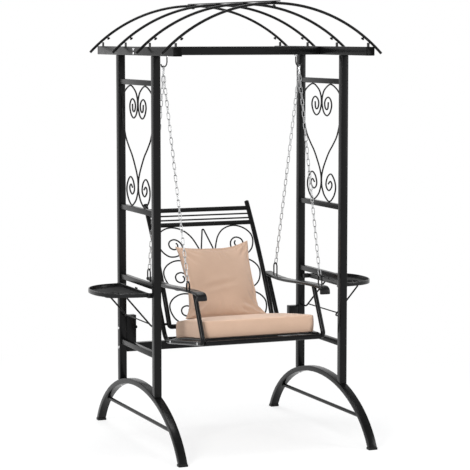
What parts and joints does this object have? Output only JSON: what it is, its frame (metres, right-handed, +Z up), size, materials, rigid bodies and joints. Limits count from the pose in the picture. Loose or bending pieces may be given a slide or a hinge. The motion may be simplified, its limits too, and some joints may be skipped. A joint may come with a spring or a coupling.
{
  "type": "hanging chair with stand",
  "caption": "Free-standing steel hanging chair: a stand with arched feet and a bowed roof, fold-down side trays and a cushioned chair swinging on chains",
  "frame": {"origin": "centre of the object's footprint on the floor, at the bottom of the foot caps", "axes": "+Z up, the chair faces -Y, +X to the right of a viewer who looks at its front"},
  "size_m": [1.403, 1.1684, 2.0619],
  "materials": {
    "stand_frame": "black powder coat, satin",
    "chair_frame": "black powder coat, satin",
    "scroll_wire": "black powder coat on bent rod, satin",
    "armrest": "black moulded strap, satin",
    "tray": "black moulded tray, satin",
    "foot_cap": "black moulded plastic, matt",
    "chain": "bright zinc plate",
    "pin": "plated steel",
    "seat_fabric": "plain beige woven outdoor fabric",
    "pillow_fabric": "plain beige woven outdoor fabric"
  },
  "bodies": {
    "stand": {"left_foot_arch": "stand_frame", "left_foot_brace": "stand_frame", "left_front_foot_cap": "foot_cap", "left_front_post": "stand_frame", "left_front_tray_pin": "pin", "left_hook": "stand_frame", "left_low_rail": "stand_frame", "left_panel_rail": "stand_frame", "left_rear_foot_cap": "foot_cap", "left_rear_post": "stand_frame", "left_rear_tray_pin": "pin", "left_scroll_panel": "scroll_wire", "left_top_beam": "stand_frame", "left_tray_rail": "stand_frame", "left_upper_rail": "stand_frame", "rear_lower_beam": "stand_frame", "right_foot_arch": "stand_frame", "right_foot_brace": "stand_frame", "right_front_foot_cap": "foot_cap", "right_front_post": "stand_frame", "right_front_tray_pin": "pin", "right_hook": "stand_frame", "right_low_rail": "stand_frame", "right_panel_rail": "stand_frame", "right_rear_foot_cap": "foot_cap", "right_rear_post": "stand_frame", "right_rear_tray_pin": "pin", "right_scroll_panel": "scroll_wire", "right_top_beam": "stand_frame", "right_tray_rail": "stand_frame", "right_upper_rail": "stand_frame", "roof_bow_front": "stand_frame", "roof_bow_front_middle": "stand_frame", "roof_bow_rear": "stand_frame", "roof_bow_rear_middle": "stand_frame", "roof_ridge_bar": "stand_frame", "top_crossbeam": "stand_frame"},
    "swing_seat": {"back_frame": "chair_frame", "back_pillow": "pillow_fabric", "back_scrollwork": "scroll_wire", "left_arm_frame": "chair_frame", "left_armrest": "armrest", "left_front_chain": "chain", "left_rear_chain": "chain", "left_seat_rail": "chair_frame", "right_arm_frame": "chair_frame", "right_armrest": "armrest", "right_front_chain": "chain", "right_rear_chain": "chain", "right_seat_rail": "chair_frame", "seat_cushion": "seat_fabric", "seat_front_bar": "chair_frame", "seat_rear_bar": "chair_frame", "seat_slats": "chair_frame"},
    "left_tray": {"left_tray": "tray"},
    "right_tray": {"right_tray": "tray"},
    "left_prop": {"left_tray_prop": "stand_frame"},
    "right_prop": {"right_tray_prop": "stand_frame"}
  },
  "joints": [
    {"name": "seat_swing", "type": "hinge", "parent": "stand", "child": "swing_seat", "pos_m": [0, -0.008, 1.76], "axis": [1, 0, 0], "range_deg": [-20, 20]},
    {"name": "left_tray_fold", "type": "hinge", "parent": "stand", "child": "left_tray", "pos_m": [-0.475, 0, 0.722], "axis": [0, -1, 0], "range_deg": [0, 80]},
    {"name": "right_tray_fold", "type": "hinge", "parent": "stand", "child": "right_tray", "pos_m": [0.475, 0, 0.722], "axis": [0, 1, 0], "range_deg": [0, 80]},
    {"name": "left_prop_swing", "type": "hinge", "parent": "stand", "child": "left_prop", "pos_m": [-0.4685, 0, 0.575], "axis": [0, -1, 0], "range_deg": [0, 128]},
    {"name": "right_prop_swing", "type": "hinge", "parent": "stand", "child": "right_prop", "pos_m": [0.4685, 0, 0.575], "axis": [0, 1, 0], "range_deg": [0, 128]}
  ],
  "couplings": [
    {"joint": "left_prop_swing", "follows": "left_tray_fold", "ratio": 1.6},
    {"joint": "right_prop_swing", "follows": "right_tray_fold", "ratio": 1.6}
  ]
}
